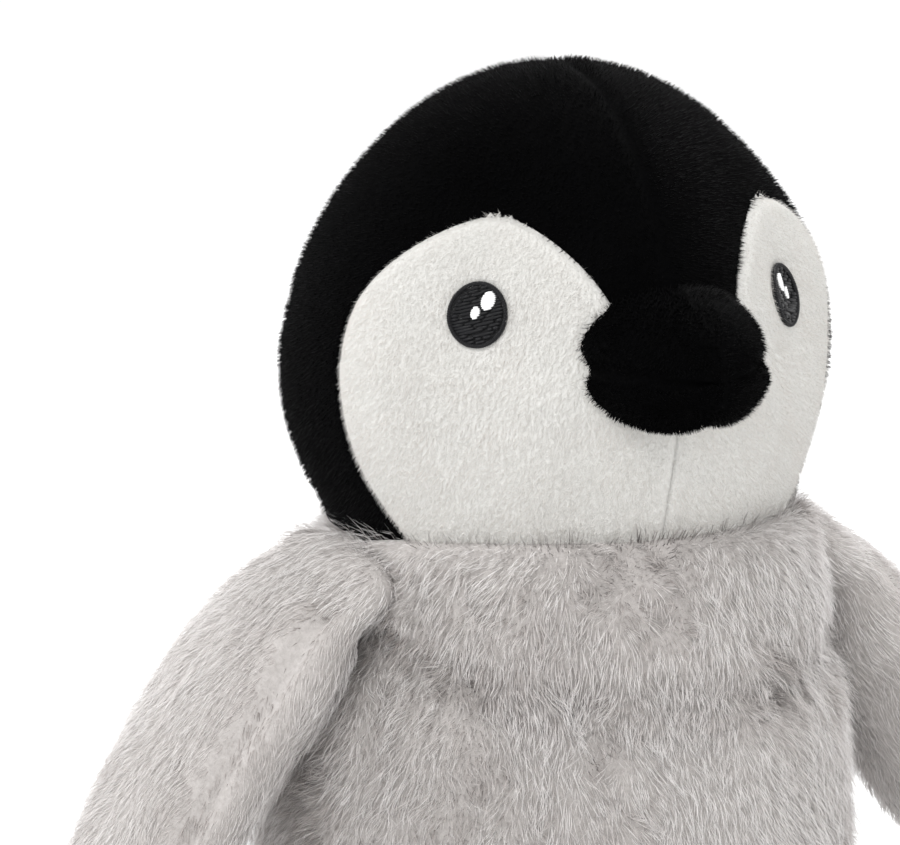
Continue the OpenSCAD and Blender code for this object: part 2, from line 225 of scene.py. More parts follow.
def plumped(piece, voxel, cap, floor=None):
    """Blows the cloth up against its thread and stuffing: remeshed, simulated and smoothed."""
    only(piece)
    remesh = piece.modifiers.new("even_mesh", "REMESH")
    remesh.mode = "VOXEL"
    remesh.voxel_size = voxel
    bpy.ops.object.modifier_apply(modifier=remesh.name)
    before = points(piece)
    cloth = piece.modifiers.new("stuffing", "CLOTH")
    cloth.settings.use_pressure = True
    cloth.settings.uniform_pressure_force = 4
    cloth.settings.effector_weights.gravity = 0
    cloth.settings.quality = 5
    cloth.point_cache.frame_end = 20
    for step in range(1, 21):
        bpy.context.scene.frame_set(step)
    bpy.ops.object.modifier_apply(modifier=cloth.name)
    bpy.context.scene.frame_set(1)
    moved = points(piece) - before
    length = np.linalg.norm(moved, axis=1, keepdims=True)
    after = before + moved * np.minimum(1, cap / np.maximum(length, 1e-9))
    if floor is not None:
        after[:, 2] = np.maximum(after[:, 2], floor)
    place_points(piece, after)
    smooth = piece.modifiers.new("smooth", "SUBSURF")
    smooth.levels = smooth.render_levels = 1
    bpy.ops.object.modifier_apply(modifier=smooth.name)
    bpy.ops.object.shade_smooth()
    return piece


def waves(places, size, seed, count=14):
    """Soft random values of about -1 to 1 over space, in patches about size across."""
    draw = np.random.default_rng(seed)
    ways = draw.normal(size=(count, 3))
    pace = draw.uniform(0.6, 1.4, (count, 1))
    ways *= 2 * np.pi / size / np.linalg.norm(ways, axis=1, keepdims=True) * pace
    return np.sin(places @ ways.T + draw.uniform(0, 2 * np.pi, count)).sum(1) / np.sqrt(count / 2)


def swaying(places, size, seed):
    """The soft random way that fibres in patches about size across bend to."""
    return np.stack([waves(places, size, seed + k) for k in range(3)], 1)


def wired(material, kind, **settings):
    """A node with its settings, and with its inputs set or linked by name."""
    node = material.node_tree.nodes.new(kind)
    for name, value in settings.items():
        if hasattr(node, name) and not name[0].isupper():
            setattr(node, name, value)
            continue
        socket = node.inputs[name.replace("_", " ")]
        if isinstance(value, bpy.types.NodeSocket):
            material.node_tree.links.new(value, socket)
        else:
            socket.default_value = value
    return node


def ramp(material, value, stops):
    """Colours along a value: a list of places and colours."""
    node = wired(material, "ShaderNodeValToRGB", Fac=value)
    while len(node.color_ramp.elements) < len(stops):
        node.color_ramp.elements.new(0.5)
    for element, (place, colour) in zip(node.color_ramp.elements, stops):
        element.position = place
        element.color = (*colour, 1)
    return node.outputs["Color"]


def pile_finish(name, root, tip, shades, roughness, sheen, gloss=0.2):
    """Pile fibres: darker at the root than at the tip, which is painted shade of the depth of the pile,
    each with its own shade. The shades are two or three colours that multiply, from the darkest fibre to
    the palest."""
    finish = bpy.data.materials.new(name)
    finish.use_nodes = True
    shader, link = finish.node_tree.nodes["Principled BSDF"], finish.node_tree.links.new
    strand = wired(finish, "ShaderNodeUVMap", uv_map="OFBake").outputs["UV"]
    split = wired(finish, "ShaderNodeSeparateXYZ", Vector=strand)
    middle = tuple(0.4 * np.array(root) + 0.6 * np.array(tip))
    # Painted shade: each fibre darkens from its tip down to its root, for the shade deep in the pile.
    along = ramp(finish, split.outputs["Y"], [(0.0, root), (0.55, middle), (1.0, tip)])
    stops = {2: (0.0, 1.0), 3: (0.0, 0.3, 1.0)}[len(shades)]
    own = ramp(finish, split.outputs["X"], list(zip(stops, shades)))
    both = wired(finish, "ShaderNodeMix", data_type="RGBA", blend_type="MULTIPLY")
    both.inputs["Factor"].default_value = 1
    link(along, both.inputs[6])
    link(own, both.inputs[7])
    link(both.outputs[2], shader.inputs["Base Color"])
    rough = wired(finish, "ShaderNodeMapRange", Value=split.outputs["X"])
    rough.inputs["To Min"].default_value = roughness + 0.08
    rough.inputs["To Max"].default_value = roughness - 0.08
    link(rough.outputs["Result"], shader.inputs["Roughness"])
    shader.inputs["Sheen Weight"].default_value = sheen
    shader.inputs["Sheen Roughness"].default_value = 0.4
    shader.inputs["Specular IOR Level"].default_value = gloss
    return finish


def backing_finish(name, dark, light, grain, roughness, sheen):
    """The short dense pile on the knitted backing, seen between the fibres."""
    finish = bpy.data.materials.new(name)
    finish.use_nodes = True
    shader, link = finish.node_tree.nodes["Principled BSDF"], finish.node_tree.links.new
    place = wired(finish, "ShaderNodeTexCoord").outputs["Object"]
    fine = wired(finish, "ShaderNodeTexNoise", Vector=place, Scale=grain, Detail=4.0, Roughness=0.7)
    broad = wired(finish, "ShaderNodeTexNoise", Vector=place, Scale=grain / 22, Detail=3.0)
    mixed = wired(finish, "ShaderNodeMix", data_type="FLOAT")
    mixed.inputs["Factor"].default_value = 0.35
    link(fine.outputs["Fac"], mixed.inputs[2])
    link(broad.outputs["Fac"], mixed.inputs[3])
    colour = ramp(finish, mixed.outputs[0], [(0.32, dark), (0.68, light)])
    link(colour, shader.inputs["Base Color"])
    rough = wired(finish, "ShaderNodeMapRange", Value=fine.outputs["Fac"])
    rough.inputs["To Min"].default_value = roughness - 0.1
    rough.inputs["To Max"].default_value = roughness + 0.1
    link(rough.outputs["Result"], shader.inputs["Roughness"])
    bump = wired(finish, "ShaderNodeBump", Height=fine.outputs["Fac"], Strength=0.7, Distance=0.0008)
    link(bump.outputs["Normal"], shader.inputs["Normal"])
    shader.inputs["Sheen Weight"].default_value = sheen
    shader.inputs["Sheen Roughness"].default_value = 0.4
    shader.inputs["Specular IOR Level"].default_value = 0.02
    return finish


def dressed(piece, finish, slot, *nodes):
    """Gives a piece its finish and hides the CAD nodes it stands for. The slot is not used."""
    piece.data.materials.append(finish)
    if nodes:
        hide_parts(*nodes)
    return piece


def planted(piece, per_mm2, seed):
    """Evenly scattered roots on a piece: their places and the cloth's normals there."""
    mesh = piece.data
    mesh.calc_loop_triangles()
    corners = np.empty(len(mesh.loop_triangles) * 3, np.int32)
    mesh.loop_triangles.foreach_get("vertices", corners)
    corners = corners.reshape(-1, 3)
    co = points(piece)
    out = np.empty(len(mesh.vertices) * 3)
    mesh.vertex_normals.foreach_get("vector", out)
    out = out.reshape(-1, 3)
    a, b, c = co[corners[:, 0]], co[corners[:, 1]], co[corners[:, 2]]
    area = np.linalg.norm(np.cross(b - a, c - a), axis=1) / 2
    reach = np.cumsum(area)
    draw = np.random.default_rng(seed)
    count = int(reach[-1] * 1e6 * per_mm2)
    face = np.searchsorted(reach, (np.arange(count) + draw.random(count)) / count * reach[-1])
    face = np.minimum(face, len(corners) - 1)
    u, v = draw.random((2, count, 1))
    over = u + v > 1
    u, v = np.where(over, 1 - u, u), np.where(over, 1 - v, v)
    weights = (1 - u - v, u, v)
    root = sum(w * co[corners[face, i]] for i, w in enumerate(weights))
    normal = sum(w * out[corners[face, i]] for i, w in enumerate(weights))
    return root, normal / np.linalg.norm(normal, axis=1, keepdims=True)


DOWN = np.array([0.0, 0.0, -1.0])


def combed(toward, normal):
    """The way a fibre lies: a direction laid flat on the cloth."""
    lay = toward - normal * (toward * normal).sum(1, keepdims=True)
    return lay / np.maximum(np.linalg.norm(lay, axis=1, keepdims=True), 1e-9)


def turned(lay, normal, angle):
    """That way turned about the cloth's normal."""
    return lay * np.cos(angle)[:, None] + np.cross(normal, lay) * np.sin(angle)[:, None]


def threads(name, spine, side, up, widths, flat, shade, sides=3, blunt=False):
    """Closed fibres of one mesh. A spine has the same number of points for each fibre; the last
    point is the tip, and the first is a tip too where both ends are to be fine."""
    count, knots = spine.shape[:2]
    first = 1 if blunt else 0
    rings = knots - 1 - first
    angles = np.radians(90) + np.arange(sides) * 2 * np.pi / sides
    ring = spine[:, first:knots - 1, None, :] + widths[:, :, None, None] * (
        side[:, None, None, :] * np.cos(angles)[None, None, :, None]
        + flat * up[:, None, None, :] * np.sin(angles)[None, None, :, None])
    parts = [ring.reshape(count, rings * sides, 3), spine[:, -1:, :]]
    if blunt:
        parts.insert(0, spine[:, :1, :])
    co = np.concatenate(parts, 1)
    each = co.shape[1]
    faces = []
    for k in range(rings - 1):
        for j in range(sides):
            p, q = first + k * sides + j, first + k * sides + (j + 1) % sides
            faces += [(p, p + sides, q + sides), (p, q + sides, q)]
    last = first + (rings - 1) * sides
    faces += [(last + j, each - 1, last + (j + 1) % sides) for j in range(sides)]
    if blunt:
        faces += [(0, 1 + j, 1 + (j + 1) % sides) for j in range(sides)]
    else:
        faces += [(0, j, j + 1) for j in range(1, sides - 1)]
    along = np.repeat(np.linspace(0, 1, knots)[first:knots - 1], sides)
    share = np.concatenate([[0.0] * first, along, [1.0]])
    corners = np.array(faces)[None] + (np.arange(count) * each)[:, None, None]
    uv = np.stack([np.repeat(np.clip(shade, 0.01, 0.99), len(faces) * 3),
                   np.tile(share[np.array(faces).ravel()] * 0.98 + 0.01, count)], 1)
    corners = corners.reshape(-1, 3)
    mesh = bpy.data.meshes.new(name)
    mesh.vertices.add(count * each)
    mesh.vertices.foreach_set("co", co.ravel())
    mesh.loops.add(corners.size)
    mesh.loops.foreach_set("vertex_index", corners.ravel().astype(np.int32))
    mesh.polygons.add(len(corners))
    mesh.polygons.foreach_set("loop_start", np.arange(0, corners.size, 3, dtype=np.int32))
    mesh.polygons.foreach_set("use_smooth", np.ones(len(corners), bool))
    mesh.update(calc_edges=True)
    mesh.uv_layers.new(name="OFBake").data.foreach_set("uv", uv.ravel())
    piece = bpy.data.objects.new(name, mesh)
    bpy.context.scene.collection.objects.link(piece)
    return piece


# The lowest that pile lies over the floor, and half a fibre's width at its root, least and most.
ABOVE_FLOOR = 0.0004
LONG_PILE_THIN, SHORT_PILE_THIN = (0.00009, 0.00015), (0.00018, 0.00028)


def fibres(name, root, normal, lay, length, lift, width, shade, knots=3, droop=0.45, sway=None):
    """Pile on cloth: each fibre starts at lift radians above it and bends down towards its lay,
    and none goes under the floor."""
    spine = [root - normal * 0.0005]
    steps = knots - 1
    for k in range(steps):
        angle = lift + droop * (1 - 2 * (k + 0.5) / steps) * (steps > 1)
        step = (lay * np.cos(angle)[:, None] + normal * np.sin(angle)[:, None]) * (length / steps)[:, None]
        if sway is not None:
            step = step + sway * (length * (k + 1) / steps ** 2)[:, None]
        spine.append(spine[-1] + step)
    side = np.cross(lay, normal)
    taper = np.linspace(1, 0.45, knots)[:knots - 1]
    spine = np.stack(spine, 1)
    spine[..., 2] = np.maximum(spine[..., 2], ABOVE_FLOOR)
    return threads(name, spine, side, normal, width[:, None] * taper, 0.6, shade)


GREY_ROOT, GREY_TIP = (0.64, 0.605, 0.59), (0.95, 0.93, 0.92)
grey_pile = pile_finish("grey_pile", GREY_ROOT, GREY_TIP,
                        [(0.22, 0.20, 0.19), (0.64, 0.605, 0.59), (1.0, 1.0, 1.0)], 0.6, 0.2)
# The grey backing is the knit's own colour, made darker as painted shade of the depth between the fibres.
grey_backing = backing_finish("grey_backing", (0.40, 0.375, 0.36), (0.57, 0.54, 0.525), 900, 0.8, 0.3)
CLOTH_INSET = 0.0006


def body_law(turn, share):
    reach = np.interp(share, [0, 0.10, 0.90, 1], [0, 1, 1, 0])
    z = np.interp(share, [0.10, 0.90], [0.0022, BODY_HIGH])
    place = body_point(turn, z, CLOTH_INSET)
    place[:, :2] *= reach[:, None]
    return place


body_skin = stuffed("body_skin", body_law, 96, 72)
plumped(body_skin, 0.005, 0.003, 0.0022)


def body_seams(place):
    """Distance in metres along the cloth to the nearest upright body seam."""
    turn = turn_of(place)
    away = np.minimum(np.abs(np.abs(turn) - BODY_SEAM_TURN), np.abs(np.abs(turn) - 180))
    return np.radians(away) * np.hypot(place[:, 0], place[:, 1])


co = points(body_skin)
high = (co[:, 2] > 0.012) & (co[:, 2] < 0.19)
inward = np.stack([-co[:, 0], -co[:, 1], 0 * co[:, 2]], 1)
inward /= np.maximum(np.linalg.norm(inward, axis=1, keepdims=True), 1e-9)
place_points(body_skin, co + inward * (0.0016 * bell(body_seams(co) / 0.004) * high)[:, None])
dressed(body_skin, grey_backing, "grey_plush", "front_body_panel", "back_body_panel_right",
        "back_body_panel_left", "torso_filling", "pellet_bag")
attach(body_skin, "torso")

# Where the breast pile is rubbed up: turn and height, and half the patch's width and height.
PATCHES = ((39, 0.188, 9, 0.005), (14, 0.191, 12, 0.005), (3, 0.183, 7, 0.009), (46, 0.168, 9, 0.007),
           (13, 0.153, 8, 0.012), (-26, 0.166, 9, 0.010), (33, 0.132, 10, 0.007), (-8, 0.120, 9, 0.008))


def ruffled(place):
    """How far the pile is rubbed the wrong way, 0 to 1: in patches on the chest, and here and
    there all round."""
    turn = turn_of(place)
    spots = sum(bell((turn - at) / wide) * bell((place[:, 2] - high) / tall)
                for at, high, wide, tall in PATCHES)
    anywhere = 0.7 * eased(waves(place, 0.034, 23) * 0.9 - 0.35)
    return np.clip(spots * (0.8 + 0.5 * waves(place, 0.012, 20)) + anywhere, 0, 1)


def grey_shade(place, draw):
    """Each grey fibre's own shade, which differs at random, and darker where the pile is rubbed up:
    painted shade of the pile's depth there.
    """
    # Painted shade: the rubbed-up patches are darkened where the opened pile would lie in shadow.
    dark = ruffled(place) * (0.50 + 0.16 * waves(place, 0.005, 32))
    return (0.89 + 0.08 * waves(place, 0.040, 31) + 0.11 * waves(place, 0.0032, 33) - dark
            + draw.normal(0, 0.12, len(place)))


# The breast's own stuffed form, made below, covers the body's cloth over this range of turns.
BREAST_MIDDLE, BREAST_REACH = -9, 88


def body_pile(name, root, normal, draw, top=0.0):
    """The body's long pile, combed down; it stands up more in the rubbed patches and on a top."""
    count = len(root)
    raised = ruffled(root)
    brushed = (0.26 * waves(root, 0.030, 21) + 0.12 * waves(root, 0.013, 22)
               + 0.7 * raised * waves(root, 0.010, 24))
    lay = turned(combed(DOWN, normal), normal, brushed + draw.normal(0, 0.14, count))
    lift = 0.46 + 0.65 * raised + draw.normal(0, 0.07, count)
    lift += (1.15 - lift) * top
    seam = bell(body_seams(root) / 0.003)
    length = 0.0068 * (1 - 0.25 * raised) * (1 - 0.25 * seam) * draw.uniform(0.75, 1.2, count)
    sway = swaying(root, 0.005, 24) * (0.14 + 0.22 * raised)[:, None]
    sway += swaying(root, 0.0018, 27) * 0.14
    # Fibres at the upright body seams are darker: painted shade of the seam's groove.
    hair = fibres(name, root, normal, lay, length, lift, draw.uniform(*LONG_PILE_THIN, count),
                  grey_shade(root, draw) - 0.12 * seam, sway=sway)
    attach(dressed(hair, grey_pile, "grey_plush"), "torso")


root, normal = planted(body_skin, 1.0, 11)
draw = np.random.default_rng(12)
turn = turn_of(root)
under_breast = (np.abs(turn - BREAST_MIDDLE) < BREAST_REACH - 14) & (root[:, 2] > 0.170)
kept = (root[:, 2] > 0.004) & (root[:, 2] < 0.1945) & (np.abs(normal[:, 2]) < 0.93) & ~under_breast
kept &= draw.random(len(root)) < np.where(np.abs(turn) > 100, 0.8, 1)
root, normal, turn = root[kept], normal[kept], turn[kept]
sector = np.floor((turn + 180) / 360 * 8).astype(int) % 8
for k in range(8):
    mine = sector == k
    body_pile(f"body_pile_{k + 1}", root[mine], normal[mine], draw, eased((root[mine, 2] - 0.160) / 0.03))

root, normal = planted(body_skin, 0.5, 13)
kept = (root[:, 2] > 0.004) & (root[:, 2] < 0.190)
root, normal = root[kept], normal[kept]
count = len(root)
raised = ruffled(root)
lay = turned(combed(DOWN, normal), normal, draw.normal(0, 0.4, count))
lift = 0.55 + 0.4 * raised + draw.normal(0, 0.1, count)
shade = grey_shade(root, draw)
for k, mine in enumerate([root[:, 0] < 0, root[:, 0] >= 0]):
    hair = fibres(f"body_underpile_{('right', 'left')[k]}", root[mine], normal[mine], lay[mine],
                  0.0050 * draw.uniform(0.8, 1.2, mine.sum()), lift[mine],
                  draw.uniform(0.00008, 0.00013, mine.sum()), shade[mine], knots=2)
    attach(dressed(hair, grey_pile, "grey_plush"), "torso")

# The pile at the neck stands up against the head.
RUFF_FROM, RUFF_HIGH, RUFF_INNER = 0.178, 0.0172, 0.0495
root, normal = planted(body_skin, 2.7, 14)
draw = np.random.default_rng(15)
turn = turn_of(root)
share = np.where(np.abs(turn - BREAST_MIDDLE) < BREAST_REACH - 10, 0.4, 1) * (root[:, 2] - 0.174) / 0.012
kept = (root[:, 2] > RUFF_FROM) & (np.hypot(root[:, 0], root[:, 1]) > RUFF_INNER)
kept &= draw.random(len(root)) < share
root, normal = root[kept], normal[kept]
count = len(root)
high = (root[:, 2] - RUFF_FROM) / RUFF_HIGH
lay = turned(combed(DOWN, normal), normal,
             0.20 * waves(root, 0.012, 35) + draw.normal(0, 0.25, count))
sway = swaying(root, 0.004, 36) * 0.10
ruff = fibres("neck_ruff", root, normal, lay, 0.0064 * draw.uniform(0.7, 1.1, count),
              1.0 + 1.1 * high + draw.normal(0, 0.10, count), draw.uniform(*LONG_PILE_THIN, count),
              grey_shade(root, draw), droop=0.3, sway=sway)
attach(dressed(ruff, grey_pile, "grey_plush"), "torso")


# ---- Breast ---------------------------------------------------------------------------------
# The top of the breast, which the stuffing pushes out under the chin: a soft wedge along the
# front of the neck that runs out into the body below, with the same pile.

BREAST_AT, BREAST_UP, BREAST_DOWN = 0.1925, 0.0066, 0.0350


def breast_law(turn, share):
    """Share runs along the breast, from the toy's right to its left, and turn round its section."""
    small = closing(np.abs(2 * share - 1), 2.2)
    way = np.radians(BREAST_MIDDLE + BREAST_REACH * (1 - 2 * share))
    high = (1 + np.cos(turn)) / 2
    z = BREAST_AT + small * (-BREAST_DOWN + (BREAST_UP + BREAST_DOWN) * high)
    inner = body_half(np.minimum(z, BREAST_AT)) - 0.0015 + 0.22 * np.maximum(z - BREAST_AT, 0)
    outer = 0.0640 - 0.15 * (z - 0.160)
    full = eased(high * 2.2) * closing((high - 0.75) / 0.25, 2)
    radius = inner + np.where(np.sin(turn) > 0, 1, 0) * np.maximum(outer - inner, 0.001) * small * full
    return np.stack([-radius * np.sin(way), -radius * np.cos(way), z], -1)


breast = stuffed("breast_skin", breast_law, 40, 96)
dressed(breast, grey_backing, "grey_plush")
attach(breast, "torso")
root, normal = planted(breast, 1.4, 131)
draw = np.random.default_rng(132)
kept = normal[:, 0] * root[:, 0] + normal[:, 1] * root[:, 1] > -0.012
root, normal = root[kept], normal[kept]
body_pile("breast_pile", root, normal, draw, eased((normal[:, 2] - 0.25) / 0.7))


# ---- Base -----------------------------------------------------------------------------------
# A flat oval of short grey cloth that closes the body underneath, sewn in all round with a
# row of small stitches.

BASE_THICK = 0.0022


def base_law(turn, share):
    reach = np.interp(share, [0, 0.15, 0.35, 0.40, 0.60, 0.65, 1], [0, 0.84, 0.97, 1, 1, 0.97, 0])
    height = np.interp(share, [0, 0.35, 0.40, 0.60, 0.65, 1], [0, 0, 0.25, 0.75, 1, 1])
    place = body_point(turn, np.zeros_like(turn), 0.0004)
    place[:, :2] *= reach[:, None]
    place[:, 2] = height * BASE_THICK
    return place


base_skin = stuffed("base_skin", base_law, 96, 64)
co = points(base_skin)
edge = np.hypot(co[:, 0], co[:, 1] / BELLY_DEPTH)
co[:, 2] += 0.0004 * bell((edge - 0.0455) / 0.0014) * (co[:, 2] < 0.0008)
place_points(base_skin, co)
base_finish = backing_finish("grey_base_cloth", (0.36, 0.33, 0.315), (0.60, 0.565, 0.545), 1400, 0.85, 0.2)
dressed(base_skin, base_finish, "grey_plush", "base_panel")
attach(base_skin, "torso")

BASE_STITCHES = 72
spots = np.linspace(0, 2 * np.pi, BASE_STITCHES, endpoint=False)
stitch_start = body_point(spots, np.zeros(BASE_STITCHES), 0.0045) + [0, 0, 0.0006]
stitch_end = body_point(spots + 0.055, np.zeros(BASE_STITCHES), 0.0045) + [0, 0, 0.0006]
share = np.array([0, 0.15, 0.5, 0.85, 1])[None, :, None]
spine = stitch_start[:, None] * (1 - share) + stitch_end[:, None] * share
down = np.tile(DOWN, (BASE_STITCHES, 1))
spine += down[:, None] * np.array([-0.3, 0.2, 0.45, 0.2, -0.3])[None, :, None] * 0.001
along = combed(stitch_end - stitch_start, down)
widths = np.tile([0.0003, 0.00035, 0.0003], (BASE_STITCHES, 1))
base_stitches = threads("base_stitches", spine, np.cross(along, down), down, widths, 0.8,
                        np.full(BASE_STITCHES, 0.5), sides=6, blunt=True)
grey_thread = pile_finish("grey_thread", (0.45, 0.42, 0.40), (0.62, 0.59, 0.57),
                          [(0.8, 0.8, 0.8), (1, 1, 1)], 0.5, 0.2)
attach(dressed(base_stitches, grey_thread, "grey_plush"), "torso")


# ---- Neck -----------------------------------------------------------------------------------
# The dome of stuffing in grey cloth over which the head is sewn, hidden inside the head. It
# turns with the head and lets it nod.

def neck_law(turn, share):
    tilt = np.interp(share, [0.25, 1], [np.arcsin((BODY_HIGH + 0.0008 - TURN_AT) / DOME), np.pi / 2])
    reach = np.interp(share, [0, 0.25], [0, 1])
    radius = (DOME - CLOTH_INSET) * np.cos(tilt) * reach
    return np.stack([-radius * np.sin(turn), -radius * np.cos(turn),
                     TURN_AT + (DOME - CLOTH_INSET) * np.sin(tilt)], -1)


neck_dome = stuffed("neck_dome", neck_law, 72, 32)
dressed(neck_dome, grey_backing, "stuffing", "neck_filling")
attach(neck_dome, "neck")


# ---- Head -----------------------------------------------------------------------------------
# A full round head of short black plush: a crown panel and a back panel on each side, joined
# along the middle. A hollow underneath sits over the neck's dome.

HEAD_ROUND, SOCKET = 0.0615, 0.05665
FACE_ROUND = HEAD_ROUND - 0.006
EYE_TURN, EYE_RISE = 43.5, 12
LIP_RISE = -np.arctan(0.041 / 0.052)


def head_radius(turn, rise):
    """The head's radius: a ball, fuller at the nape and temples, slimmer at the crown and face."""
    t, r = np.degrees(np.abs(turn)), np.degrees(rise)
    low = np.where(r < 0, 0.052 / np.cos(np.minimum(rise, 0)), 0)
    ball = (HEAD_ROUND ** 16 + low ** 16) ** (1 / 16)
    face = 0.007 * bell((t - 38) / 26) * bell((r - 10) / 34)
    face += (0.0012 * bell((t - EYE_TURN) / 11) * bell((r - EYE_RISE) / 12)
             + 0.00025 * (t - EYE_TURN) * bell((t - EYE_TURN) / 9) * bell((r - EYE_RISE) / 11))
    crown = 0.0026 * bell((r - 38) / 30)
    nape = 0.0026 * bell((r + 20) / 20) * eased((r + 38) / 10) * eased((t - 75) / 35)
    temple = 0.0023 * bell((r - 12) / 26) * bell((t - 68) / 20)
    return ball - face - crown + nape + temple


def head_point(turn, rise, inset=0.0):
    radius = head_radius(turn, rise) - inset
    return HEAD_MIDDLE + radius[:, None] * np.stack(
        [-np.sin(turn) * np.cos(rise), -np.cos(turn) * np.cos(rise), np.sin(rise)], -1)


CHEEK_TOP = 34.8


def cheek_edges(rise_degrees, side):
    """The turns, in degrees, between which the face is white at a height. The left cheek is
    the narrower: the black reaches further over it on both sides."""
    low = np.clip((-8 - rise_degrees) / 30.3, 0, 2)
    high = np.clip((rise_degrees + 8) / 42.8, 0, 1)
    back = np.where(rise_degrees < -8, 75 - 14 * low ** 3.2, 44 + 31 * np.sqrt(1 - high ** 2))
    along = np.clip((rise_degrees - 8) / 26.8, 0, 1)
    front = 44 - 29 * (1 - along ** 1.5) ** 0.62 - 3.7 * side
    back = back - 6.5 * (1 - side) * eased((22 - rise_degrees) / 28)
    return front * eased((rise_degrees + 8) / 11), back - 3.7 * side * eased((rise_degrees - 10) / 24.8)


def cheek_outline(side):
    rise = np.concatenate([np.linspace(-38.5, 34.7, 160), [CHEEK_TOP]])
    front, back = cheek_edges(rise, side)
    line = np.concatenate([np.stack([back, rise], 1), np.stack([front, rise], 1)[::-1]])
    return line[line[:, 0] > 0.5]


outlines = {side: cheek_outline(side) for side in (1, -1)}


def from_head_middle(place):
    """Turn and rise, in radians, of places seen from the head's middle."""
    away = place - HEAD_MIDDLE
    return np.arctan2(-away[:, 0], -away[:, 1]), np.arctan2(away[:, 2], np.hypot(away[:, 0], away[:, 1]))


def into_white(turn, rise):
    """Distance in metres from the cheek's outline: positive inside the white."""
    t, r = np.degrees(np.abs(turn)), np.degrees(rise)
    side = np.where(turn < 0, -1, 1)
    front, back = cheek_edges(r, side)
    inside = (r < CHEEK_TOP) & (t >= front) & (t < back)
    gap = np.full(len(t), 1e9)
    for hand, outline in outlines.items():
        mine = side == hand
        for edge_turn, edge_rise in outline:
            away = ((t[mine] - edge_turn) * np.cos(rise[mine])) ** 2 + (r[mine] - edge_rise) ** 2
            gap[mine] = np.minimum(gap[mine], away)
    return np.where(inside, 1, -1) * np.radians(np.sqrt(gap)) * HEAD_ROUND


def head_seams(turn, rise):
    """Distance in metres to the nearest black seam: middle of the crown, middle of the back,
    and the side seam between crown and back panels."""
    t, r = np.degrees(np.abs(turn)), np.degrees(rise)
    middle = np.abs(np.sin(turn)) * np.cos(rise) * HEAD_ROUND
    middle = np.where((t < 90) & (r < 10), 1, middle)
    side = np.where(t > 75, np.abs(np.radians(r - 8)) * HEAD_ROUND + 0.0012, 1)
    return np.minimum(middle, side)


def head_law(turn, share):
    rise = np.interp(share, [0.30, 1], [LIP_RISE, np.pi / 2])
    place = head_point(turn, rise, CLOTH_INSET)
    white = into_white(turn, rise)
    sunk = 0.0016 * eased((white + 0.0006) / 0.0016) + 0.0008 * bell(head_seams(turn, rise) / 0.0016)
    way = (place - HEAD_MIDDLE) / np.linalg.norm(place - HEAD_MIDDLE, axis=1, keepdims=True)
    place -= way * sunk[:, None]
    tilt = np.interp(share, [0, 0.28], [np.pi / 2, np.arcsin((0.1953 - TURN_AT) / SOCKET)])
    hollow = np.stack([-SOCKET * np.cos(tilt) * np.sin(turn), -SOCKET * np.cos(tilt) * np.cos(turn),
                       TURN_AT + SOCKET * np.sin(tilt)], -1)
    return np.where((share < 0.29)[:, None], hollow, place)


black_pile = pile_finish("black_pile", (0.0006, 0.0006, 0.0007), (0.0024, 0.0024, 0.0027),
                         [(0.4, 0.4, 0.42), (1, 1, 1)], 0.45, 0.0, 0.03)
black_backing = backing_finish("black_backing", (0.0006, 0.0006, 0.0007), (0.002, 0.002, 0.0022),
                               1200, 0.85, 0.0)
head_skin = stuffed("head_skin", head_law, 180, 132)
dressed(head_skin, black_backing, "black_plush", "crown_panel_right", "crown_panel_left",
        "back_head_panel_right", "back_head_panel_left", "head_filling")
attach(head_skin, "head")

root, normal = planted(head_skin, 1.81, 41)
draw = np.random.default_rng(42)
turn, rise = from_head_middle(root)
outside = (np.linalg.norm(root - [0, 0, TURN_AT], axis=1) > SOCKET + 0.0008) & (rise > LIP_RISE - 0.02)
kept = outside & (into_white(turn, rise) < 0.0002)
root, normal, turn, rise = root[kept], normal[kept], turn[kept], rise[kept]
count = len(root)
toward = np.stack([np.sign(root[:, 0]) * 0.7, 0.35 + 0 * turn, -0.8 + 0 * turn], 1)
lay = turned(combed(toward, normal), normal, 0.12 * waves(root, 0.016, 43) + draw.normal(0, 0.3, count))
seam = bell(head_seams(turn, rise) / 0.0014)
length = 0.0020 * (1 - 0.3 * seam) * draw.uniform(0.8, 1.2, count)
lift = 1.02 + 0.10 * waves(root, 0.008, 44) + draw.normal(0, 0.1, count)
# Painted shade: fibres along the head's seams are darker, for the shadow in the seams' grooves.
shade = 0.5 + 0.12 * waves(root, 0.012, 45) + draw.normal(0, 0.16, count) - 0.3 * seam
width = draw.uniform(*SHORT_PILE_THIN, count)
for k, mine in enumerate([root[:, 0] < 0, root[:, 0] >= 0]):
    hair = fibres(f"head_pile_{('right', 'left')[k]}", root[mine], normal[mine], lay[mine], length[mine],
                  lift[mine], width[mine], shade[mine], knots=2)
    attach(dressed(hair, black_pile, "black_plush"), "head")


# ---- Cheeks ---------------------------------------------------------------------------------
# The white face: a panel of short white plush on each side, with one seam under the beak,
# let into the black along one curved outline.

white_pile = pile_finish("white_pile", (0.70, 0.69, 0.665), (0.80, 0.795, 0.765),
                         [(0.94, 0.89, 0.87), (1, 1, 1)], 0.6, 0.15)
white_backing = backing_finish("white_backing", (0.60, 0.59, 0.565), (0.74, 0.735, 0.71), 1000, 0.8, 0.2)
EYE_HALF_WIDE, EYE_HALF_HIGH = 0.0067, 0.0072


